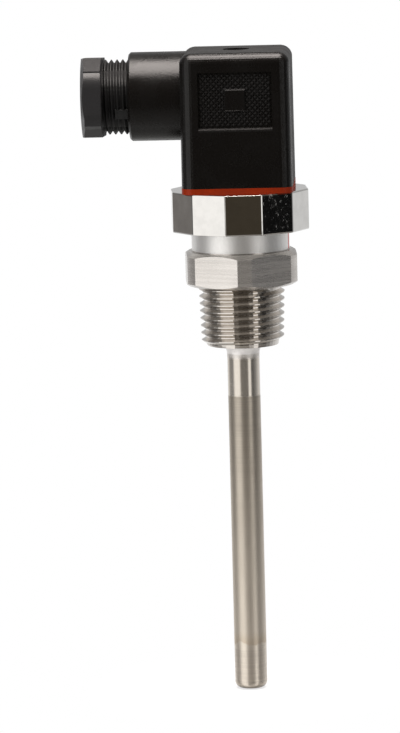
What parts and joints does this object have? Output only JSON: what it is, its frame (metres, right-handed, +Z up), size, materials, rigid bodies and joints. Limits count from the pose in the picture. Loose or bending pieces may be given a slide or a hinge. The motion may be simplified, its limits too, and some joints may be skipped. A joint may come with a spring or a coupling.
{
  "type": "rtd probe with plug head",
  "caption": "Resistance thermometer probe with tapered process thread, twelve-sided metal head and an angled plug with side cable gland.",
  "frame": {"origin": "on the probe axis at the lower face of the hexagon, where the process thread starts", "axes": "+Z up along the probe axis towards the plug, -X along the cable gland, -Y out of the plug's textured panel"},
  "size_m": [0.0549, 0.0342, 0.1595],
  "materials": {
    "fitting_steel": "brushed round the axis, bright flanks",
    "tube_steel": "satin drawn tube, polished near the fitting",
    "tip_steel": "fine turned",
    "label_film": "silver white film, bare",
    "polished_steel": "mirror polished facets",
    "black_rubber": "matte",
    "base_plastic": "moulded",
    "brass": "turned",
    "tinned_brass": "tinned",
    "gasket_rubber": "smooth moulded, orange red",
    "ceramic": "fired, unglazed",
    "element_ceramic": "fired, unglazed",
    "wire_cover": "smooth",
    "housing_plastic": "moulded black, finely grained",
    "carrier_plastic": "moulded",
    "terminal_brass": "nickel washed",
    "screw_steel": "zinc plated",
    "nut_plastic": "moulded dark grey",
    "washer_plastic": "smooth"
  },
  "bodies": {
    "probe": {"process_fitting": "fitting_steel", "protective_tube": "tube_steel", "tube_tip": "tip_steel", "label_band": "label_film", "head_body": "polished_steel", "head_o_ring": "black_rubber", "plug_base": "base_plastic", "centre_nut": "brass", "line_blade_1": "tinned_brass", "line_blade_2": "tinned_brass", "line_blade_3": "tinned_brass", "earth_blade": "tinned_brass", "flat_gasket": "gasket_rubber", "ceramic_insulator": "ceramic", "pt100_element": "element_ceramic", "lead_wires": "wire_cover"},
    "plug": {"connector_housing": "housing_plastic", "contact_carrier": "carrier_plastic", "line_terminal_1": "terminal_brass", "line_terminal_2": "terminal_brass", "line_terminal_3": "terminal_brass", "earth_terminal": "terminal_brass", "terminal_screws": "screw_steel", "gland_seal": "black_rubber"},
    "screw_carrier": {"screw_washer": "black_rubber"},
    "screw": {"centre_screw": "screw_steel"},
    "gland_carrier": {"slip_washer": "washer_plastic"},
    "gland": {"gland_nut": "nut_plastic"}
  },
  "joints": [
    {"name": "plug_pull", "type": "slide", "parent": "probe", "child": "plug", "axis": [0, 0, 1], "range_m": [0, 0.03]},
    {"name": "screw_travel", "type": "slide", "parent": "plug", "child": "screw_carrier", "axis": [0, 0, 1], "range_m": [0, 0.005]},
    {"name": "screw_turn", "type": "hinge", "parent": "screw_carrier", "child": "screw", "pos_m": [0, 0, 0.056], "axis": [0, 0, 1], "range_deg": [0, 3600]},
    {"name": "gland_travel", "type": "slide", "parent": "plug", "child": "gland_carrier", "axis": [-1, 0, 0], "range_m": [-0.00141, 0.00353]},
    {"name": "gland_turn", "type": "hinge", "parent": "gland_carrier", "child": "gland", "pos_m": [-0.035, 0, 0.0468], "axis": [-1, 0, 0], "range_deg": [-360, 900]}
  ],
  "couplings": [
    {"joint": "screw_turn", "follows": "screw_travel", "rad_per_m": 12566},
    {"joint": "gland_turn", "follows": "gland_travel", "rad_per_m": 4453}
  ]
}
